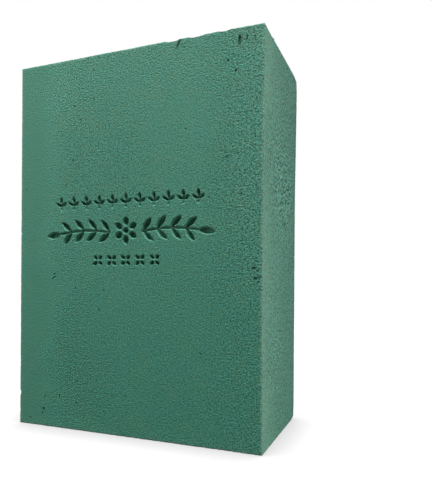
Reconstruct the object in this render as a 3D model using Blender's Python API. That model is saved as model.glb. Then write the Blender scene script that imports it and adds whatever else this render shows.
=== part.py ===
"""Floral foam brick: one sawn block of rigid open-cell foam, with a botanical ornament pressed into its front face.

The block stands on one end. X is its width, Y its thickness and Z its length, and the origin is at the
middle of the end that it stands on. The ornament has three rows: sprouts, a flower between two sprigs,
and a short line of blossoms. Each shape of it is a straight-walled recess, so the whole brick is one solid.
"""

import math

import bmesh
import bpy

# The block, in metres
WIDTH = 0.163
THICKNESS = 0.080
LENGTH = 0.230
EDGE_ROUND = 0.0012
EDGE_SEGMENTS = 3

# The ornament's place on the front face: its middle line, and the middle height of each row
ORNAMENT_X = -0.003
SPROUT_ROW_Z = 0.1404
FLOWER_ROW_Z = 0.1223
BLOSSOM_ROW_Z = 0.1047

# Pressed depth: leaves and petals go deeper than the thin stems
LEAF_DEPTH = 0.0022
STEM_DEPTH = 0.0017
CUTTER_PROUD = 0.0020  # how far a cutter stands out of the face, so that its cut is clean

# Outlines: points along one side of a leaf, and round a disc
LEAF_STEPS = 6
DISC_SIDES = 16

# First row: equal sprouts, each a short stem with a leaf on each side and one on top
SPROUTS = 11
SPROUT_PITCH = 0.00935
SPROUT_HEIGHT = 0.0086
SPROUT_STEM_WIDTH = 0.0017
SPROUT_STEM_HEIGHT = 0.0045
SPROUT_TOP_LEAF = (0.0050, 0.0023)
SPROUT_SIDE_LEAF = (0.0046, 0.0021)
SPROUT_LEAF_ANGLE = math.radians(36)
SPROUT_SIDE_ROOT = 0.0026  # height of the side leaves' roots above the stem's foot

# Second row: the flower and its two sprigs
PETALS = 6
FLOWER_CORE_RADIUS = 0.0019
PETAL_START = 0.0027
PETAL = (0.0057, 0.0042)
SPRIG_START = 0.0105
SPRIG_END = 0.0470
SPRIG_RISE = 0.0016
SPRIG_STEM_WIDTH = 0.0018
SPRIG_STEM_STEPS = 10
SPRIG_LEAF = (0.0096, 0.0037)
SPRIG_TIP_LEAF = (0.0112, 0.0044)
SPRIG_LEAF_ANGLE = math.radians(44)
SPRIG_LEAF_STATIONS = (0.02, 0.27, 0.52, 0.77)  # shares of the stem's length
LEAF_ROOT_GAP = 0.0003  # keeps two roots on one stem from meeting in the middle of it

# Third row: blossoms of four petals
BLOSSOMS = 5
BLOSSOM_PITCH = 0.0097
BLOSSOM_PETALS = 4
BLOSSOM_PETAL_START = 0.0006
BLOSSOM_PETAL = (0.0036, 0.0024)

FOAM_COLOUR = (0.098, 0.250, 0.178, 1.0)
FOAM_ROUGHNESS = 0.95

FRONT_Y = -THICKNESS / 2
QUARTER_TURN = math.pi / 2


def clear_scene():
    for obj in list(bpy.data.objects):
        bpy.data.objects.remove(obj, do_unlink=True)


def foam_material():
    material = bpy.data.materials.new("green_foam")
    material.use_nodes = True
    shader = material.node_tree.nodes["Principled BSDF"]
    shader.inputs["Base Color"].default_value = FOAM_COLOUR
    shader.inputs["Roughness"].default_value = FOAM_ROUGHNESS
    shader.inputs["Metallic"].default_value = 0.0
    return material


def object_from(name, mesh_builder, collection):
    """Links a new object whose mesh comes from the bmesh that mesh_builder returns."""
    built = mesh_builder()
    mesh = bpy.data.meshes.new(name)
    built.to_mesh(mesh)
    built.free()
    obj = bpy.data.objects.new(name, mesh)
    collection.objects.link(obj)
    return obj


def block():
    """The plain block, standing with its base at Z = 0."""
    shape = bmesh.new()
    bmesh.ops.create_cube(shape, size=1.0)
    for vertex in shape.verts:
        vertex.co.x *= WIDTH
        vertex.co.y *= THICKNESS
        vertex.co.z = (vertex.co.z + 0.5) * LENGTH
    return shape


def leaf_outline(length, width):
    """A pointed oval from (0, 0) to (length, 0): two equal arcs, listed anticlockwise."""
    half_length = length / 2
    half_width = width / 2
    radius = (half_length**2 + half_width**2) / (2 * half_width)
    spread = math.asin(half_length / radius)
    lower = []
    for step in range(LEAF_STEPS):
        angle = spread * (2 * step / LEAF_STEPS - 1)
        lower.append((half_length + radius * math.sin(angle), radius * (1 - math.cos(angle)) - half_width))
    upper = [(length - x, -y) for x, y in lower]
    return lower + upper


def disc_outline(radius):
    turns = [2 * math.pi * side / DISC_SIDES for side in range(DISC_SIDES)]
    return [(radius * math.cos(turn), radius * math.sin(turn)) for turn in turns]


def placed(outline, x, z, angle=0.0):
    """The outline turned by angle about its own origin and moved to (x, z)."""
    cosine = math.cos(angle)
    sine = math.sin(angle)
    return [(x + cosine * u - sine * v, z + sine * u + cosine * v) for u, v in outline]


def mirrored(outline):
    """The outline's mirror image in the ornament's middle line, still anticlockwise."""
    return [(-x, z) for x, z in reversed(outline)]


def sprout_row():
    """(outline, depth) of each shape in the first row."""
    shapes = []
    half_stem = SPROUT_STEM_WIDTH / 2
    foot = SPROUT_ROW_Z - SPROUT_HEIGHT / 2
    stem = [(-half_stem, 0), (half_stem, 0), (half_stem, SPROUT_STEM_HEIGHT), (-half_stem, SPROUT_STEM_HEIGHT)]
    for index in range(SPROUTS):
        x = (index - (SPROUTS - 1) / 2) * SPROUT_PITCH
        shapes.append((placed(stem, x, foot), STEM_DEPTH))
        top_root = foot + SPROUT_HEIGHT - SPROUT_TOP_LEAF[0]
        shapes.append((placed(leaf_outline(*SPROUT_TOP_LEAF), x, top_root, QUARTER_TURN), LEAF_DEPTH))
        root = foot + SPROUT_SIDE_ROOT
        side = leaf_outline(*SPROUT_SIDE_LEAF)
        right = placed(side, x + LEAF_ROOT_GAP, root, SPROUT_LEAF_ANGLE)
        left = placed(side, x - LEAF_ROOT_GAP, root, math.pi - SPROUT_LEAF_ANGLE)
        shapes.append((right, LEAF_DEPTH))
        shapes.append((left, LEAF_DEPTH))
    return shapes


def sprig_point(share):
    """The point of the right sprig's stem at this share of its length: a low arch."""
    x = SPRIG_START + share * (SPRIG_END - SPRIG_START)
    z = FLOWER_ROW_Z + SPRIG_RISE * math.sin(math.pi * share) - SPRIG_RISE / 2
    return x, z


def sprig_direction(share):
    """The angle of the right sprig's stem at this share of its length."""
    run = SPRIG_END - SPRIG_START
    climb = SPRIG_RISE * math.pi * math.cos(math.pi * share)
    return math.atan2(climb, run)


def sprig_stem():
    """The outline of the right sprig's stem: a band of constant width along the arch."""
    lower = []
    upper = []
    for step in range(SPRIG_STEM_STEPS + 1):
        share = step / SPRIG_STEM_STEPS
        x, z = sprig_point(share)
        angle = sprig_direction(share)
        across = (-math.sin(angle) * SPRIG_STEM_WIDTH / 2, math.cos(angle) * SPRIG_STEM_WIDTH / 2)
        lower.append((x - across[0], z - across[1]))
        upper.append((x + across[0], z + across[1]))
    return lower + upper[::-1]


def right_sprig():
    """(outline, depth) of the stem, its pairs of leaves and the leaf at its tip."""
    shapes = [(sprig_stem(), STEM_DEPTH)]
    for share in SPRIG_LEAF_STATIONS:
        x, z = sprig_point(share)
        direction = sprig_direction(share)
        for side in (1, -1):
            root = z + side * LEAF_ROOT_GAP
            angle = direction + side * SPRIG_LEAF_ANGLE
            shapes.append((placed(leaf_outline(*SPRIG_LEAF), x, root, angle), LEAF_DEPTH))
    x, z = sprig_point(1.0)
    tip_root = x - 2 * LEAF_ROOT_GAP
    shapes.append((placed(leaf_outline(*SPRIG_TIP_LEAF), tip_root, z, sprig_direction(1.0)), LEAF_DEPTH))
    return shapes


def flower_row():
    """(outline, depth) of each shape in the second row."""
    shapes = [(placed(disc_outline(FLOWER_CORE_RADIUS), 0.0, FLOWER_ROW_Z), LEAF_DEPTH)]
    for petal in range(PETALS):
        angle = QUARTER_TURN + 2 * math.pi * petal / PETALS
        x = PETAL_START * math.cos(angle)
        z = FLOWER_ROW_Z + PETAL_START * math.sin(angle)
        shapes.append((placed(leaf_outline(*PETAL), x, z, angle), LEAF_DEPTH))
    for outline, depth in right_sprig():
        shapes.append((outline, depth))
        shapes.append((mirrored(outline), depth))
    return shapes


def blossom_row():
    """(outline, depth) of each shape in the third row."""
    shapes = []
    for index in range(BLOSSOMS):
        middle = (index - (BLOSSOMS - 1) / 2) * BLOSSOM_PITCH
        for petal in range(BLOSSOM_PETALS):
            angle = math.pi / BLOSSOM_PETALS + 2 * math.pi * petal / BLOSSOM_PETALS
            x = middle + BLOSSOM_PETAL_START * math.cos(angle)
            z = BLOSSOM_ROW_Z + BLOSSOM_PETAL_START * math.sin(angle)
            shapes.append((placed(leaf_outline(*BLOSSOM_PETAL), x, z, angle), LEAF_DEPTH))
    return shapes


def prism(outline, depth):
    """A closed prism of the outline, from in front of the front face to depth behind it."""
    shape = bmesh.new()
    front = FRONT_Y - CUTTER_PROUD
    corners = [shape.verts.new((ORNAMENT_X + x, front, z)) for x, z in outline]
    cap = shape.faces.new(corners)
    pushed = bmesh.ops.extrude_face_region(shape, geom=[cap])["geom"]
    moved = [item for item in pushed if isinstance(item, bmesh.types.BMVert)]
    bmesh.ops.translate(shape, verts=moved, vec=(0.0, CUTTER_PROUD + depth, 0.0))
    bmesh.ops.recalc_face_normals(shape, faces=shape.faces)
    return shape


def ornament_cutters():
    """The collection of cutters that presses the ornament into the block."""
    cutters = bpy.data.collections.new("ornament_cutters")
    bpy.context.scene.collection.children.link(cutters)
    rows = {"sprout": sprout_row(), "flower": flower_row(), "blossom": blossom_row()}
    for row, shapes in rows.items():
        for number, (outline, depth) in enumerate(shapes):
            cutter = object_from(f"{row}_cutter_{number:02d}", lambda o=outline, d=depth: prism(o, d), cutters)
            cutter.hide_render = True
            cutter.display_type = "WIRE"
    return cutters


def foam_brick():
    brick = object_from("foam_brick", block, bpy.context.scene.collection)
    brick.data.materials.append(foam_material())
    edges = brick.modifiers.new("edge_round", "BEVEL")
    edges.width = EDGE_ROUND
    edges.segments = EDGE_SEGMENTS
    edges.limit_method = "ANGLE"
    pressed = brick.modifiers.new("pressed_ornament", "BOOLEAN")
    pressed.operation = "DIFFERENCE"
    pressed.solver = "EXACT"
    pressed.operand_type = "COLLECTION"
    pressed.collection = ornament_cutters()
    return brick


clear_scene()
foam_brick()
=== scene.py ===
"""Looks of the floral foam brick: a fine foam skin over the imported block, its material, and a white studio.

The skin is a closed mesh worked out from the CAD solid. It starts as the block's box in small quads, made
smaller near the pressed ornament, the pits, the chips and the torn patches. Then its points are moved: edges
are rounded and worn, the ornament is pressed in along the CAD solid's own recesses, and pits, chips, torn
lumps and grain are added.
"""

import math

import bmesh
import bpy
import numpy as np
from mathutils import Matrix, Vector
from mathutils.bvhtree import BVHTree


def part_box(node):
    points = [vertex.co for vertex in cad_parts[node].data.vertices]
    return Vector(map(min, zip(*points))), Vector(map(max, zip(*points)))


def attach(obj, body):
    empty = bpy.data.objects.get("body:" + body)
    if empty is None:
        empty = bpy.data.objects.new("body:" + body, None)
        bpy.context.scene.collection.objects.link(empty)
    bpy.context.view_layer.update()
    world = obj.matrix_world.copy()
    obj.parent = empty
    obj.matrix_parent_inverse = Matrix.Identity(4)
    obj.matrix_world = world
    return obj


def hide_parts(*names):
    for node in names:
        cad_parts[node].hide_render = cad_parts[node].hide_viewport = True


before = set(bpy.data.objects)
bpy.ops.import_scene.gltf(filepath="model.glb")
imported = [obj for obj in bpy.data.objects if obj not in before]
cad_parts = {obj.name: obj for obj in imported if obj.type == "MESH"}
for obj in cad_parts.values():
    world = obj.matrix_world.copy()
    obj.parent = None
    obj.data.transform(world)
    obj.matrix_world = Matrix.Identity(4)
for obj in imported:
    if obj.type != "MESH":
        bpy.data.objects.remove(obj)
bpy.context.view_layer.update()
LOW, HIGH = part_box("foam_brick")
SIZE = HIGH - LOW
MM = 0.001
ON_FACE = 1.0 * MM      # a point this close to a face of the box belongs to it

# The skin's mesh: the size of its quads before any are split, and where they are split
CELL = 1.2 * MM
EDGE_BAND = 2.0 * MM            # along the box's edges
PRESSED_BAND = 1.8 * MM         # round each recess
WALL_BAND = 0.9 * MM            # along the recesses' walls
SCOOP_BANDS = (1.5 * MM, 0.7 * MM, 0.2 * MM)    # round pits and chips, in each of the three rounds
TORN_SPLIT = 0.25               # the tornness above which the mesh is split

# The pressed ornament
PROBE_DEPTH = 0.9 * MM      # a level that every recess's wall crosses
FLOOR_DEPTHS = (1.2 * MM, 6.0 * MM)     # the depths between which every recess's floor lies
OUTER_MARGIN = 6.0 * MM     # the strip along the front face's edges that holds no recess
TALL_WALL = 1.0 * MM        # a wall's polygons are taller than this
SHALLOWEST = 0.5 * MM       # a place that is deeper than this is inside a recess
RAY_START = 5.0 * MM        # how far in front of the face a depth is probed from
LIP = 0.25 * MM             # how far the rounded lip reaches outside a recess
WALL = 0.85 * MM            # how far the sloping wall reaches inside it
OUTLINE_WOBBLE = 0.16 * MM
FLOOR_ROUGHNESS = 0.20 * MM
WALL_HIGHLIGHT_PLACE = 0.20 * MM       # the middle of the pale band of painted highlight along a wall's upper half
WALL_HIGHLIGHT_WIDTH = 0.25 * MM

# Worn edges and corners
EDGE_RADIUS = 0.30 * MM
EDGE_RADIUS_CHANGE = 0.18 * MM
EDGE_CRUMBLE = 0.35 * MM
CORNER_WEAR = 1.8 * MM
CORNER_REACH = 6.0 * MM
WORN_CORNERS = ((1, 1, 1), (1, 1, 0))   # right, back, and top or bottom

# How the wire saw strayed: the front right edge bows in, and the right side's top back corner flares out
EDGE_BOW = 0.50 * MM
CORNER_FLARE = 0.80 * MM

# Unevenness of the sawn faces, the grain that shows on them, and the torn patches where it is lumpy
FACE_WAVE = 0.12 * MM
TORN_HEIGHT = 0.55 * MM
TORN_LENGTH = 1.7 * MM
GRAIN_HEIGHT = 0.060 * MM
GRAIN_LENGTH = 1.3 * MM

SMOOTH = 0.16               # the coarseness of the calm strip down the front's left

# Random pits: burst cells
RANDOM_PITS = 220
PIT_RADIUS = (0.25 * MM, 0.60 * MM)
SEED = 20


def smoothstep(low, high, value):
    t = np.clip((value - low) / (high - low), 0.0, 1.0)
    return t * t * (3 - 2 * t)


# ---------------------------------------------------------------- noise

def hashed(cells, seed):
    """A pseudo-random number from 0 to 1 for each row of whole numbers."""
    mixed = cells[:, 0] * 73856093 ^ cells[:, 1] * 19349663 ^ cells[:, 2] * 83492791 ^ seed * 2654435761
    mixed = ((mixed ^ (mixed >> 13)) & 0x7FFFFFFF) * 1274126177 & 0x7FFFFFFF
    mixed = ((mixed ^ (mixed >> 16)) & 0x7FFFFFFF) * 668265263 & 0x7FFFFFFF
    return (mixed ^ (mixed >> 15)) / 0x7FFFFFFF


def noise(points, wavelength, seed):
    """Smooth noise from -1 to 1 whose bumps are about one wavelength apart."""
    scaled = points / wavelength * 2
    base = np.floor(scaled).astype(np.int64)
    part = scaled - base
    blend = part * part * (3 - 2 * part)
    total = np.zeros(len(points))
    for corner in np.ndindex(2, 2, 2):
        weight = np.prod(np.where(corner, blend, 1 - blend), axis=1)
        total += weight * hashed(base + np.array(corner), seed)
    return 2 * total - 1


def layered_noise(points, wavelength, seed, layers=3):
    total = sum(noise(points, wavelength / 2**layer, seed + layer) / 2**layer for layer in range(layers))
    return total / (2 - 2 ** (1 - layers))


# ---------------------------------------------------------------- the CAD solid, measured

class Ornament:
    """The recesses in the CAD solid's front face, as distances to their walls."""

    def __init__(self, node):
        mesh = node.data
        points = np.empty(len(mesh.vertices) * 3)
        mesh.vertices.foreach_get("co", points)
        points = points.reshape(-1, 3)
        polygons = [tuple(polygon.vertices) for polygon in mesh.polygons]
        self.front = LOW.y
        sunk = points[:, 1] - self.front
        floor = (sunk > FLOOR_DEPTHS[0]) & (sunk < FLOOR_DEPTHS[1])
        floor &= (points[:, 0] > LOW.x + OUTER_MARGIN) & (points[:, 0] < HIGH.x - OUTER_MARGIN)
        floor &= (points[:, 2] > LOW.z + OUTER_MARGIN) & (points[:, 2] < HIGH.z - OUTER_MARGIN)
        self.low = points[floor].min(axis=0)
        self.high = points[floor].max(axis=0)
        walls = [
            corners for corners in polygons
            if any(floor[c] for c in corners) and np.ptp(points[list(corners), 1]) > TALL_WALL
        ]
        self.wall_depths = [points[list(corners), 1].max() - self.front for corners in walls]
        self.solid = BVHTree.FromPolygons(points.tolist(), polygons)
        self.walls = BVHTree.FromPolygons(points.tolist(), walls)

    def near(self, points, margin):
        """Which points lie on the front face, within margin of the ornament's box."""
        return (
            (points[:, 1] < self.front + 0.1 * MM)
            & (points[:, 0] > self.low[0] - margin) & (points[:, 0] < self.high[0] + margin)
            & (points[:, 2] > self.low[2] - margin) & (points[:, 2] < self.high[2] + margin)
        )

    def measure(self, points):
        """Each point's distance to the nearest wall, positive inside a recess, and that recess's depth."""
        distance = np.full(len(points), -1.0)
        depth = np.zeros(len(points))
        forward = Vector((0, 1, 0))
        for i in np.flatnonzero(self.near(points, 2 * PRESSED_BAND)):
            x, _, z = points[i]
            _, _, wall, gap = self.walls.find_nearest((x, self.front + PROBE_DEPTH, z))
            reach = self.solid.ray_cast((x, self.front - RAY_START, z), forward)[0].y - self.front
            within = reach > SHALLOWEST
            distance[i] = gap if within else -gap
            depth[i] = reach if within else self.wall_depths[wall]
        return distance, depth


# ---------------------------------------------------------------- pits and chips

class Scoop:
    """A small ellipsoid whose inside is missing from the foam: a pit, a chip or a scratch.

    Its radii are along X, Y and Z before it is turned about Y, by degrees that raise its +X end.
    """

    def __init__(self, centre, radii, turn=0.0, rough=0.12):
        self.centre = np.array(centre)
        self.radii = np.array(radii)
        self.rough = rough
        cosine, sine = math.cos(math.radians(turn)), math.sin(math.radians(turn))
        self.axes = np.array(((cosine, 0, sine), (0, 1, 0), (-sine, 0, cosine)))

    def around(self, points, margin):
        """The points within margin of the ellipsoid's own box."""
        roughly = np.flatnonzero((np.abs(points - self.centre) < self.radii.max() + margin).all(axis=1))
        local = (points[roughly] - self.centre) @ self.axes.T
        return roughly[(np.abs(local) < self.radii + margin).all(axis=1)]

    def carve(self, points, missing, seed):
        """Pushes the points inside the ellipsoid out onto its surface, and marks them as missing foam, which
        the material darkens as painted shade.
        """
        chosen = self.around(points, 0)
        local = (points[chosen] - self.centre) @ self.axes.T
        share = np.maximum(np.linalg.norm(local / self.radii, axis=1), 0.05)
        edge = 1 + self.rough * noise(points[chosen], self.radii.mean(), seed)
        inside = share < edge
        chosen = chosen[inside]
        pushed = local[inside] * (edge[inside] / share[inside])[:, None]
        points[chosen] = self.centre + pushed @ self.axes
        missing[chosen] = np.maximum(missing[chosen], smoothstep(1.0, 0.45, share[inside]))


def on_front(x, z):
    """The point of the front face at this place in millimetres."""
    return (x * MM, LOW.y, z * MM)


def named_scoops():
    """The pits and chips that stand out, in millimetres from the middle of the base."""
    mm = np.array((MM, MM, MM))
    return [
        # two slits near the top right corner of the front face, then burst cells by themselves
        Scoop(on_front(67.6, 223.0), mm * (0.95, 2.4, 2.9)),
        Scoop(on_front(71.8, 224.0), mm * (0.50, 1.7, 1.8), turn=-14),
        Scoop(on_front(60.9, 213.2), mm * (0.80, 1.0, 0.8)),
        Scoop(on_front(60.4, 160.6), mm * (0.75, 0.9, 0.7)),
        Scoop(on_front(69.0, 140.0), mm * (0.70, 0.9, 0.7)),
        Scoop(on_front(65.5, 207.0), mm * (0.70, 0.8, 0.7)),
        Scoop(on_front(-62.4, 11.0), mm * (0.80, 0.8, 1.0)),
        Scoop(on_front(-63.4, 8.2), mm * (0.60, 0.7, 0.6)),
        # broken patch beside the near edge
        Scoop(on_front(76.2, 99.7), mm * (1.4, 1.1, 0.8)),
        Scoop(on_front(78.4, 98.3), mm * (0.9, 1.0, 0.8)),
        Scoop(on_front(79.6, 95.2), mm * (1.0, 1.0, 0.9)),
        Scoop(on_front(77.2, 94.2), mm * (1.2, 1.0, 0.9)),
        Scoop(on_front(78.9, 92.3), mm * (0.8, 0.8, 0.6)),
        Scoop(on_front(77.3, 103.6), mm * (0.6, 0.6, 0.5)),
        # a nick with a scratch below it, near the left side
        Scoop(on_front(-54.6, 96.6), mm * (1.0, 0.8, 0.5), turn=12),
        Scoop(on_front(-54.9, 94.4), mm * (2.2, 0.35, 0.5), turn=38),
        # a slit with two pinholes below the front face's top edge
        Scoop(on_front(31.0, 227.4), mm * (0.8, 2.0, 2.6), turn=-28),
        Scoop(on_front(33.2, 226.6), mm * (0.50, 0.5, 0.45)),
        Scoop(on_front(34.9, 224.8), mm * (0.50, 0.5, 0.45)),
        # crumbled places on the top edge
        Scoop((26.8 * MM, LOW.y, HIGH.z + 0.35 * MM), mm * (5.0, 3.0, 1.20)),
        Scoop((42.0 * MM, LOW.y, HIGH.z + 0.40 * MM), mm * (5.5, 3.0, 1.25)),
        Scoop((58.8 * MM, LOW.y, HIGH.z + 0.45 * MM), mm * (4.5, 2.4, 1.00)),
        # a nick low on the front left edge
        Scoop((LOW.x - 0.3 * MM, LOW.y - 0.3 * MM, 19.5 * MM), mm * (1.1, 1.6, 1.8)),
        # crumbled places on the bottom edge
        Scoop((14.0 * MM, LOW.y - 0.3 * MM, LOW.z), mm * (2.2, 0.9, 0.8)),
        Scoop((58.6 * MM, LOW.y - 0.3 * MM, LOW.z), mm * (2.6, 1.0, 0.9)),
        Scoop((63.4 * MM, LOW.y - 0.3 * MM, LOW.z), mm * (2.0, 1.1, 0.8)),
    ]


def random_scoops():
    """Burst cells all over, closer together where the grain is coarse."""
    draw = np.random.default_rng(SEED)
    low, high = np.array(LOW), np.array(HIGH)
    areas = np.array((SIZE.y * SIZE.z, SIZE.x * SIZE.z, SIZE.x * SIZE.y))
    found = []
    while len(found) < RANDOM_PITS:
        axis = draw.choice(3, p=areas / areas.sum())
        place = low + draw.random(3) * (high - low)
        place[axis] = (low, high)[draw.integers(2)][axis]
        keep = draw.random()
        radius = draw.uniform(*PIT_RADIUS)
        stretch = draw.uniform(0.8, 1.3, 3)
        if keep < 0.15 + 0.85 * coarseness(place[None])[0]:
            found.append(Scoop(place, radius * stretch))
    return found


def patch(across, up, middle, reach):
    """1 at the middle of a soft oval patch, falling to 0 outside it. Lengths in millimetres."""
    return np.exp(-((across / MM - middle[0]) / reach[0]) ** 2 - ((up / MM - middle[1]) / reach[1]) ** 2)


def coarseness(points):
    """How coarse the foam's grain is at each point: 0 is smooth, 1 the front's coarsest, and more torn."""
    x, y, z = points.T
    patches = 0.5 + 0.5 * noise(points, 46 * MM, SEED + 1)
    wavy = x + 7 * MM * noise(points, 30 * MM, SEED + 3)
    calm_left = smoothstep(LOW.x + 6 * MM, LOW.x + 38 * MM, wavy)
    rough_right = smoothstep(HIGH.x - 40 * MM, HIGH.x - 8 * MM, x) * (0.6 + 0.4 * smoothstep(0.04, 0.12, z))
    front = 0.50 + 0.15 * patches + 0.45 * patch(x, z, (-26, 168), (26, 30)) + 0.50 * rough_right
    front += 0.25 * patch(x, z, (-42, 45), (30, 40))
    front = SMOOTH + (front - SMOOTH) * calm_left
    right = 0.62 + 0.50 * smoothstep(LOW.y + 6 * MM, LOW.y + 34 * MM, y)
    elsewhere = 0.45 + 0.50 * patches
    is_front = y < LOW.y + ON_FACE
    is_right = x > HIGH.x - ON_FACE
    return np.where(is_front, front, np.where(is_right, right, elsewhere)) + 0.7 * tornness(points)


def tornness(points):
    """1 where the saw tore the foam's face, in soft patches, and 0 where it cut cleanly."""
    x, y, z = points.T
    right = patch(y, z, (8, 152), (24, 30)) + 0.45 * patch(y, z, (-24, 166), (16, 28))
    right += 0.45 * patch(y, z, (-18, 50), (20, 18))
    left = 0.8 * patch(y, z, (-6, 66), (20, 30))
    back = 0.8 * patch(x, z, (34, 168), (30, 26)) + 0.4 * patch(x, z, (-42, 58), (26, 34))
    found = np.where(x > HIGH.x - ON_FACE, right, 0)
    found = np.where(x < LOW.x + ON_FACE, left, found)
    return np.where(y > HIGH.y - ON_FACE, back, found)


def painted_glare(points):
    """Painted glare from the overhead light, which pales the foam's colour: more towards its upper end, and a
    little less along its left side.
    """
    x, _, z = points.T
    top_glare = smoothstep(0.03, 0.25, z + 20 * MM * noise(points, 60 * MM, SEED + 12))
    return top_glare * (0.8 + 0.2 * smoothstep(LOW.x + 12 * MM, LOW.x + 30 * MM, x))


def side_paleness_and_light(points):
    """How pale the surface is painted: only on the narrow sides, some all over them and most beside their
    front edges, as painted light from the side lamp that falls off towards the back.
    """
    x, y, _ = points.T
    side = np.abs(x) > HIGH.x - ON_FACE
    band = 1 - smoothstep(LOW.y, LOW.y + 50 * MM, y + 6 * MM * layered_noise(points, 16 * MM, SEED + 11))
    return np.where(side, 0.40 + 0.60 * band, 0.0)


# ---------------------------------------------------------------- the skin's mesh

def box_in_quads():
    """The block's box as a closed bmesh of near-square quads."""
    shape = bmesh.new()
    bmesh.ops.create_cube(shape, size=1.0)
    middle = (LOW + HIGH) / 2
    for vertex in shape.verts:
        vertex.co = middle + Vector([c * s for c, s in zip(vertex.co, SIZE)])
    for axis in range(3):
        long_enough = SIZE[axis] / 2
        across = [e for e in shape.edges if abs(e.verts[0].co[axis] - e.verts[1].co[axis]) > long_enough]
        cuts = round(SIZE[axis] / CELL) - 1
        bmesh.ops.subdivide_edges(shape, edges=across, cuts=cuts, use_grid_fill=True)
    return shape


def face_centres(shape):
    return np.array([face.calc_center_median() for face in shape.faces])


def split_faces(shape, chosen):
    """Splits each chosen face in four."""
    shape.faces.ensure_lookup_table()
    edges = {edge for i in np.flatnonzero(chosen) for edge in shape.faces[i].edges}
    bmesh.ops.subdivide_edges(shape, edges=list(edges), cuts=1, use_grid_fill=True)


def near_box_edge(points, band):
    """Which points on the box are within band of one of its edges."""
    reach = np.minimum(points - np.array(LOW), np.array(HIGH) - points)
    return np.sort(reach, axis=1)[:, 1] < band


def near_scoops(points, scoops, margin):
    found = np.zeros(len(points), bool)
    for scoop in scoops:
        found[scoop.around(points, margin)] = True
    return found


def skin_mesh(ornament, scoops):
    """The box's mesh, split in three rounds.

    The first takes the front, the right side and all edges, the second the ornament and the torn patches,
    and the third the recesses' walls. Each also takes the pits and chips.
    """
    shape = box_in_quads()
    centres = face_centres(shape)
    chosen = (centres[:, 1] < LOW.y + 0.1 * MM) | (centres[:, 0] > HIGH.x - 0.1 * MM)
    chosen |= near_box_edge(centres, EDGE_BAND) | near_scoops(centres, scoops, SCOOP_BANDS[0])
    split_faces(shape, chosen)
    centres = face_centres(shape)
    distance, _ = ornament.measure(centres)
    chosen = (distance > -PRESSED_BAND) | near_scoops(centres, scoops, SCOOP_BANDS[1])
    chosen |= tornness(centres) > TORN_SPLIT
    split_faces(shape, chosen)
    centres = face_centres(shape)
    distance, _ = ornament.measure(centres)
    chosen = (np.abs(distance - (WALL - LIP) / 2) < WALL_BAND) | near_scoops(centres, scoops, SCOOP_BANDS[2])
    split_faces(shape, chosen)
    return shape


# ---------------------------------------------------------------- moving the skin's points

def rounded(points):
    """Rounds the box's edges by a changing radius, and gives each point's outward direction."""
    low, high = np.array(LOW), np.array(HIGH)
    radius = EDGE_RADIUS + EDGE_RADIUS_CHANGE * layered_noise(points, 14 * MM, SEED + 2)
    for corner in WORN_CORNERS:
        place = np.where(corner, high, low)
        away = np.linalg.norm(points - place, axis=1)
        radius += CORNER_WEAR * np.exp(-((away / CORNER_REACH) ** 2))
    radius = radius[:, None]
    inner = np.clip(points, low + radius, high - radius)
    outward = points - inner
    outward /= np.linalg.norm(outward, axis=1)[:, None]
    return inner + radius * outward, outward


def strayed(points):
    """How far the saw's stray moves each point along X."""
    x, y, z = points.T
    height = (z - LOW.z) / SIZE.z
    near_right = smoothstep(HIGH.x - 25 * MM, HIGH.x, x)
    bow = EDGE_BOW * np.sin(np.pi * height) * (1 - smoothstep(LOW.y, LOW.y + 30 * MM, y))
    flare = CORNER_FLARE * smoothstep(0.6, 1.0, height) * smoothstep(LOW.y, HIGH.y, y)
    return near_right * (flare - bow)


def shaped(points, ornament, scoops):
    """The finished points, and what the material reads at each of them."""
    distance, depth = ornament.measure(points)
    wobble = OUTLINE_WOBBLE * layered_noise(points, 2.6 * MM, SEED + 10, 2)
    press = smoothstep(-LIP, WALL, distance + wobble)
    # a band of painted highlight on each recess's wall, just inside its edge
    wall_highlight = np.exp(-(((distance + wobble - WALL_HIGHLIGHT_PLACE) / WALL_HIGHLIGHT_WIDTH) ** 2))
    coarse = coarseness(points)
    edge = np.sort(np.minimum(points - np.array(LOW), np.array(HIGH) - points), axis=1)[:, 1]
    wear = 1 - smoothstep(0.3 * MM, 3.2 * MM, edge + 0.9 * MM * layered_noise(points, 5 * MM, SEED + 4))

    moved, outward = rounded(points)
    sink = FACE_WAVE * (0.5 + 0.5 * layered_noise(points, 60 * MM, SEED + 5, 2))
    sink = sink * smoothstep(0, 8 * MM, edge)
    grain = layered_noise(points, GRAIN_LENGTH, SEED + 6, 2)
    sink += GRAIN_HEIGHT * (0.35 + 0.65 * coarse) * grain
    crumble = np.maximum(layered_noise(points, 3.0 * MM, SEED + 7), 0)
    sink += EDGE_CRUMBLE * crumble * (1 - smoothstep(0, 1.6 * MM, edge))
    sink += TORN_HEIGHT * tornness(points) * layered_noise(points, TORN_LENGTH, SEED + 9, 2)
    sink += press * (depth + FLOOR_ROUGHNESS * layered_noise(points, 1.8 * MM, SEED + 8, 2))
    moved -= outward * sink[:, None]
    moved[:, 0] += strayed(points)

    missing = np.zeros(len(points))
    for number, scoop in enumerate(scoops):
        scoop.carve(moved, missing, SEED + 100 + number)
    moved[:, 2] = np.maximum(moved[:, 2], LOW.z)
    # Several of these drive painted light and shade in the material: glare towards the top, light beside the
    # narrow sides' front edges, a highlight along the recesses' walls, shade in pits and chips, and shade and
    # highlights in the grain where it is coarse.
    read = {
        "coarse": coarse, "wear": wear, "pressed": press, "missing": missing,
        "side_pale_and_lit": side_paleness_and_light(points), "top_glare": painted_glare(points), "wall_highlight": wall_highlight,
    }
    return moved, read


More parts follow.
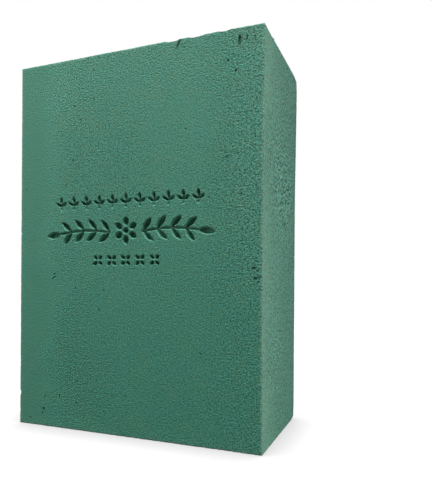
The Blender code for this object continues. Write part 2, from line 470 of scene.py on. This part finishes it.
def foam_skin():
    """The brick's visible surface, as one closed mesh."""
    ornament = Ornament(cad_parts["foam_brick"])
    scoops = named_scoops() + random_scoops()
    shape = skin_mesh(ornament, scoops)
    mesh = bpy.data.meshes.new("foam_skin")
    shape.to_mesh(mesh)
    shape.free()
    points = np.empty(len(mesh.vertices) * 3)
    mesh.vertices.foreach_get("co", points)
    moved, read = shaped(points.reshape(-1, 3), ornament, scoops)
    mesh.vertices.foreach_set("co", moved.ravel())
    for name, values in read.items():
        attribute = mesh.attributes.new(name, "FLOAT", "POINT")
        attribute.data.foreach_set("value", values.astype(np.float32))
    mesh.shade_smooth()
    mesh.update()
    skin = bpy.data.objects.new("foam_skin", mesh)
    bpy.context.scene.collection.objects.link(skin)
    return skin


# ---------------------------------------------------------------- material

class Nodes:
    """Short calls for building a material's node tree."""

    def __init__(self, material):
        material.use_nodes = True
        self.tree = material.node_tree
        self.shader = self.tree.nodes["Principled BSDF"]

    def add(self, kind, inputs=None, **settings):
        node = self.tree.nodes.new(kind)
        for name, value in settings.items():
            setattr(node, name, value)
        for name, value in (inputs or {}).items():
            self.set(node.inputs[name], value)
        return node

    def set(self, socket, value):
        if isinstance(value, bpy.types.NodeSocket):
            self.tree.links.new(value, socket)
        else:
            socket.default_value = value

    def place(self):
        return self.add("ShaderNodeTexCoord").outputs["Object"]

    def read(self, name):
        return self.add("ShaderNodeAttribute", attribute_name=name).outputs["Fac"]

    def noise(self, wavelength, detail=2.0, roughness=0.5):
        found = self.add(
            "ShaderNodeTexNoise",
            {"Vector": self.place(), "Scale": 1 / wavelength, "Detail": detail, "Roughness": roughness},
        )
        return found.outputs["Fac"]

    def noise_along_z(self, across, along):
        """Noise drawn out along Z, for lines that the saw left."""
        scale = (1 / across, 1 / across, 1 / along)
        stretched = self.add("ShaderNodeMapping", {"Vector": self.place(), "Scale": scale})
        found = self.add(
            "ShaderNodeTexNoise",
            {"Vector": stretched.outputs["Vector"], "Scale": 1.0, "Detail": 2.0},
        )
        return found.outputs["Fac"]

    def ramp(self, value, low, high, out_low=0.0, out_high=1.0):
        found = self.add(
            "ShaderNodeMapRange",
            {"Value": value, "From Min": low, "From Max": high, "To Min": out_low, "To Max": out_high},
            interpolation_type="SMOOTHSTEP",
        )
        return found.outputs["Result"]

    def math(self, operation, first, second=0.0):
        found = self.add("ShaderNodeMath", operation=operation)
        self.set(found.inputs[0], first)
        self.set(found.inputs[1], second)
        return found.outputs["Value"]

    def mix(self, share, first, second, blend="MIX"):
        found = self.add("ShaderNodeMix", data_type="RGBA", blend_type=blend)
        self.set(found.inputs["Factor"], share)
        self.set(found.inputs["A"], first)
        self.set(found.inputs["B"], second)
        return found.outputs["Result"]


def foam_material():
    material = bpy.data.materials.new("green_foam")
    n = Nodes(material)

    green = (0.067, 0.282, 0.192, 1)
    glare_green = (0.101, 0.309, 0.219, 1)        # green paled by painted glare
    cool = (0.70, 0.99, 1.10, 1)           # cool and warm multiply the colour
    warm = (1.33, 1.01, 0.90, 1)
    # pale grey-green: powder on worn edges, and the narrow sides' paleness with its painted light
    powder_and_side_light = (0.197, 0.392, 0.290, 1)
    ridge_highlight_green = (0.128, 0.420, 0.315, 1)      # painted highlight on the grain's ridges
    highlight_green = (0.230, 0.560, 0.440, 1)         # painted highlight on torn lumps and the recesses' lips
    shade_green = (0.012, 0.070, 0.048, 1)        # painted shade in valleys, pits, burst cells and torn hollows
    squeezed = (0.066, 0.232, 0.158, 1)    # crushed or smooth foam

    coarse = n.read("coarse")
    peel = n.noise(0.95 * MM, 1.5, 0.5)
    fine = n.noise(0.5 * MM, 1.0)
    cells = n.add("ShaderNodeTexVoronoi", {"Vector": n.place(), "Scale": 1 / (1.0 * MM), "Randomness": 1.0})
    chance = n.add("ShaderNodeSeparateColor", {"Color": cells.outputs["Color"]}).outputs["Red"]
    burst = n.ramp(chance, 0.62, 0.84)
    hole = n.math("MULTIPLY", burst, n.ramp(cells.outputs["Distance"], 0.42, 0.08))
    hole = n.math("MULTIPLY", hole, n.ramp(coarse, 0.1, 1.0, 0.05, 1.0))

    # painted glare, paling the colour towards the top
    colour = n.mix(n.read("top_glare"), green, glare_green)
    tint = n.mix(n.ramp(n.noise(13 * MM, 4), 0.35, 0.65), cool, warm)
    colour = n.mix(0.20, colour, tint, "MULTIPLY")
    # paler narrow sides, with painted light beside their front edges
    side_pale_and_lit = n.math("MULTIPLY", n.read("side_pale_and_lit"), n.ramp(n.noise(9 * MM, 4), 0.30, 0.62, 0.88, 1.0))
    colour = n.mix(n.math("MULTIPLY", side_pale_and_lit, 0.75), colour, powder_and_side_light)
    speckle = n.mix(n.ramp(n.noise(1.0 * MM, 2), 0.38, 0.62), cool, warm)
    colour = n.mix(n.ramp(coarse, 0.0, 1.0, 0.50, 1.0), colour, speckle, "MULTIPLY")
    contrast = n.math("MULTIPLY", coarse, 0.68)
    # painted shade in the grain's valleys and painted highlight on its ridges, stronger where it is coarse
    valley_shade = n.math("MULTIPLY", n.ramp(peel, 0.53, 0.36), n.math("MINIMUM", contrast, 0.80))
    colour = n.mix(valley_shade, colour, shade_green)
    ridge_highlight = n.math("MULTIPLY", n.ramp(peel, 0.52, 0.70), n.math("MINIMUM", contrast, 0.58))
    colour = n.mix(ridge_highlight, colour, ridge_highlight_green)
    torn = n.ramp(coarse, 0.8, 1.9)
    lumps = n.noise(1.6 * MM, 1.0, 0.5)
    # painted shade in the torn patches' hollows and painted highlight on their lumps
    colour = n.mix(n.math("MULTIPLY", torn, n.ramp(lumps, 0.44, 0.34)), colour, shade_green)
    colour = n.mix(n.math("MULTIPLY", torn, n.ramp(lumps, 0.47, 0.57)), colour, highlight_green)
    calm = n.ramp(coarse, 0.50, 0.15, 0.0, 0.60)
    colour = n.mix(calm, colour, squeezed)
    colour = n.mix(n.math("MULTIPLY", n.read("pressed"), 0.5), colour, squeezed)
    # painted highlight along the recesses' walls
    colour = n.mix(n.math("MULTIPLY", n.read("wall_highlight"), 0.40), colour, highlight_green)
    # painted shade in pits and chips
    colour = n.mix(n.math("MULTIPLY", n.read("missing"), 0.85), colour, shade_green)
    powder = n.math("MULTIPLY", n.read("wear"), n.ramp(n.noise(2.5 * MM, 3), 0.35, 0.7, 0.0, 0.3))
    colour = n.mix(powder, colour, powder_and_side_light)
    # painted shade in the burst cells
    colour = n.mix(n.math("MULTIPLY", hole, 0.6), colour, shade_green)
    n.set(n.shader.inputs["Base Color"], colour)

    n.set(n.shader.inputs["Roughness"], n.ramp(n.noise(3.0 * MM, 2), 0.3, 0.7, 0.82, 0.98))
    n.shader.inputs["Specular IOR Level"].default_value = 0.15
    n.shader.inputs["Sheen Weight"].default_value = 0.03
    n.shader.inputs["Sheen Roughness"].default_value = 0.6

    height = n.math("ADD", peel, n.math("MULTIPLY", fine, 0.35))
    height = n.math("MULTIPLY", height, n.math("ADD", n.math("MULTIPLY", coarse, 0.85), 0.15))
    height = n.math("SUBTRACT", height, n.math("MULTIPLY", hole, 0.5))
    saw_lines = n.noise_along_z(1.8 * MM, 60 * MM)
    height = n.math("ADD", height, n.math("MULTIPLY", saw_lines, 0.10))
    bump = n.add("ShaderNodeBump", {"Height": height, "Strength": 1.0, "Distance": 1.00 * MM})
    n.set(n.shader.inputs["Normal"], bump.outputs["Normal"])
    return material


# ---------------------------------------------------------------- studio

CAMERA_TURN = math.radians(21.09)     # about the vertical, so that the right side shows
CAMERA_ROLL = math.radians(0.37)
CAMERA_LENS = 34.84                   # on a 36 mm sensor's long side
CAMERA_SHIFT_UP = 0.0635
NEAR_EDGE_AHEAD = 0.2565              # from the camera to the front right edge, along the view
NEAR_EDGE_ASIDE = 0.0250              # and to the right
CAMERA_HEIGHT = 0.0923

FLOOR_SIZE = 12.0
FLOOR_GAP = 0.2 * MM
CONTACT_REACH = 0.03
# the floor's glow in its painted contact shadow close round the brick; the open glow holds away from it
CONTACT_SHADOW_GLOW = 0.62
OPEN_GLOW = 0.92
WORLD_LIGHT = 0.05


def camera():
    data = bpy.data.cameras.new("camera")
    data.lens = CAMERA_LENS
    data.sensor_width = 36.0
    data.shift_y = CAMERA_SHIFT_UP
    data.clip_start = 0.01
    found = bpy.data.objects.new("camera", data)
    bpy.context.scene.collection.objects.link(found)
    ahead = Vector((-math.sin(CAMERA_TURN), math.cos(CAMERA_TURN), 0))
    aside = Vector((math.cos(CAMERA_TURN), math.sin(CAMERA_TURN), 0))
    place = Vector((HIGH.x, LOW.y, LOW.z)) - NEAR_EDGE_AHEAD * ahead - NEAR_EDGE_ASIDE * aside
    place.z = LOW.z + CAMERA_HEIGHT
    turned = Matrix.Rotation(CAMERA_TURN, 4, "Z") @ Matrix.Rotation(math.pi / 2, 4, "X")
    found.matrix_world = Matrix.Translation(place) @ turned @ Matrix.Rotation(CAMERA_ROLL, 4, "Z")
    bpy.context.scene.camera = found


def area_light(name, place, aim, size, power):
    """A disc light, or a rectangle where size has two lengths. No light is seen by the camera."""
    data = bpy.data.lights.new(name, "AREA")
    data.shape = "RECTANGLE" if len(size) == 2 else "DISK"
    data.size = size[0]
    data.size_y = size[-1]
    data.energy = power
    found = bpy.data.objects.new(name, data)
    bpy.context.scene.collection.objects.link(found)
    found.location = place
    found.rotation_euler = (Vector(aim) - Vector(place)).to_track_quat("-Z", "Y").to_euler()
    found.visible_camera = False


def around(azimuth, elevation, distance):
    """A point round the brick's middle: azimuth 0 is in front of it, 90 on its right."""
    turn = math.radians(azimuth)
    rise = math.radians(elevation)
    away = Vector((math.sin(turn) * math.cos(rise), -math.cos(turn) * math.cos(rise), math.sin(rise)))
    return (LOW + HIGH) / 2 + distance * away


def floor():
    """A white floor that glows, so that it stays white far from the lights, and glows less close round the
    brick as a painted contact shadow.
    """
    bpy.ops.mesh.primitive_plane_add(size=FLOOR_SIZE, location=(0, 0, LOW.z - FLOOR_GAP))
    found = bpy.context.object
    found.name = "studio_floor"
    material = bpy.data.materials.new("white_floor")
    n = Nodes(material)
    n.shader.inputs["Base Color"].default_value = (0.10, 0.10, 0.10, 1)
    n.shader.inputs["Roughness"].default_value = 1.0
    n.shader.inputs["Specular IOR Level"].default_value = 0.0
    n.shader.inputs["Emission Color"].default_value = (1, 1, 1, 1)
    openness = n.add("ShaderNodeAmbientOcclusion", {"Distance": CONTACT_REACH}, samples=16).outputs["AO"]
    # painted contact shadow: a dimmer glow where the brick is near
    glow = n.ramp(openness, 0.4, 1.0, CONTACT_SHADOW_GLOW, OPEN_GLOW)
    away = n.add("ShaderNodeVectorMath", {0: n.place()}, operation="LENGTH").outputs["Value"]
    glow = n.math("MAXIMUM", glow, n.ramp(away, 0.2, 0.6, 0.0, 1.0))
    n.set(n.shader.inputs["Emission Strength"], glow)
    found.data.materials.append(material)
    found.visible_diffuse = False
    found.visible_shadow = False


def white_world():
    """White where the camera looks past the floor, and dim as a light."""
    world = bpy.data.worlds.new("white_studio")
    world.use_nodes = True
    tree = world.node_tree
    background = tree.nodes["Background"]
    background.inputs["Color"].default_value = (1, 1, 1, 1)
    seen = tree.nodes.new("ShaderNodeLightPath").outputs["Is Camera Ray"]
    strength = tree.nodes.new("ShaderNodeMapRange")
    tree.links.new(seen, strength.inputs["Value"])
    strength.inputs["To Min"].default_value = WORLD_LIGHT
    strength.inputs["To Max"].default_value = 1.0
    tree.links.new(strength.outputs["Result"], background.inputs["Strength"])
    bpy.context.scene.world = world


def studio():
    bpy.context.scene.view_settings.view_transform = "Standard"
    middle = (LOW + HIGH) / 2
    area_light("overhead", around(22, 72, 0.88), middle, (0.50,), 11.8)
    area_light("left_fill", around(-60, 12, 0.80), middle, (0.40,), 3.35)
    area_light("side_strip", (0.22, -0.05, 0.085), (HIGH.x, 0, 0.085), (0.10, 0.50), 0.325)
    area_light("back_fill", around(185, 30, 0.90), middle, (0.50,), 5.5)
    white_world()
    floor()


camera()
studio()
skin = foam_skin()
skin.data.materials.append(foam_material())
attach(skin, "root")
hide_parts("foam_brick")
